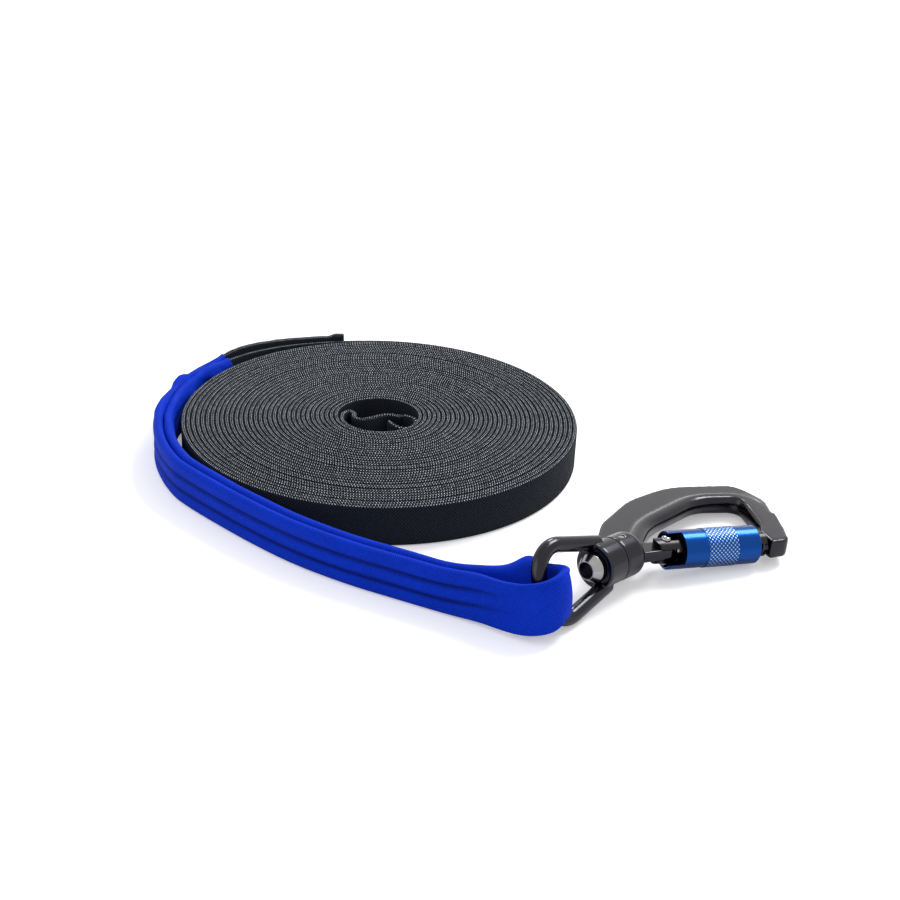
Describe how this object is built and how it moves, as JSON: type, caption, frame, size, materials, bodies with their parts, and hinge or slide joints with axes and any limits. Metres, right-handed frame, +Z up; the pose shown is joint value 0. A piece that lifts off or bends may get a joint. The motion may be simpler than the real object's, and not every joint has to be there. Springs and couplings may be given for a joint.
{
  "type": "webbing line with swivel carabiner",
  "caption": "Coiled flat webbing line whose sewn end loop, in a tubular chafe sleeve, holds a swivel carabiner with a spring gate and a push-and-twist locking sleeve.",
  "frame": {"origin": "middle of the coil, on the surface that it rests on", "axes": "+Z up through the coil; the line leaves the coil at the back left and its carabiner lies to +X and -Y"},
  "size_m": [0.3833, 0.3535, 0.0439],
  "materials": {
    "webbing": "woven nylon, black",
    "sleeve_fabric": "tubular woven nylon, royal blue",
    "thread": "bonded sewing thread, black",
    "forged_alloy": "gunmetal anodised forging, satin",
    "gate_alloy": "turned and anodised, satin",
    "blue_alloy": "blue anodised, knurled band",
    "polished_steel": "bright stainless steel",
    "steel": "turned stainless steel",
    "spring_steel": "drawn spring wire",
    "black_plastic": "acetal, black",
    "bronze": "sintered bronze",
    "seal_rubber": "nitrile rubber, black"
  },
  "bodies": {
    "line": {"webbing_coil": "webbing", "webbing_loop": "webbing", "chafe_sleeve": "sleeve_fabric", "bar_tacks": "thread"},
    "bail": {"bail": "forged_alloy", "swivel_bush": "bronze", "seal_ring": "seal_rubber", "head_washer": "steel", "thrust_washer": "steel"},
    "hook": {"carabiner_body": "forged_alloy", "swivel_pin": "polished_steel", "pin_lock_pin": "polished_steel"},
    "gate": {"gate": "gate_alloy", "hinge_pin": "polished_steel", "gate_plunger": "steel", "gate_spring": "spring_steel", "guide_pin": "steel", "sleeve_clip": "spring_steel", "sleeve_spring": "spring_steel"},
    "slider": {"sleeve_slider": "black_plastic"},
    "lock_sleeve": {"lock_sleeve": "blue_alloy", "sleeve_end_ring": "steel"}
  },
  "joints": [
    {"name": "bail_swing", "type": "hinge", "parent": "line", "child": "bail", "pos_m": [0.09679, -0.20356, 0.02355], "axis": [-0.2801, 0.3653, 0.8878], "range_deg": [-140, 8]},
    {"name": "swivel_turn", "type": "hinge", "parent": "bail", "child": "hook", "pos_m": [0.1362, -0.1613, 0.0186], "axis": [0.6795, 0.7287, -0.0854], "continuous": true},
    {"name": "gate_open", "type": "hinge", "parent": "hook", "child": "gate", "pos_m": [0.16788, -0.14287, 0.0157], "axis": [0.0506, 0.0696, 0.9963], "range_deg": [0, 28], "stiffness_Nm_per_rad": 0.25, "springref_deg": -22.92},
    {"name": "sleeve_push", "type": "slide", "parent": "gate", "child": "slider", "axis": [0.9401, 0.3334, -0.071], "range_m": [0, 0.0018], "stiffness_N_per_m": 600, "springref_m": -0.002, "deforming": ["sleeve_spring"]},
    {"name": "sleeve_turn", "type": "hinge", "parent": "slider", "child": "lock_sleeve", "pos_m": [0.16788, -0.14287, 0.0157], "axis": [0.9401, 0.3334, -0.071], "range_deg": [0, 75], "stiffness_Nm_per_rad": 0.02, "springref_deg": -28.65}
  ]
}
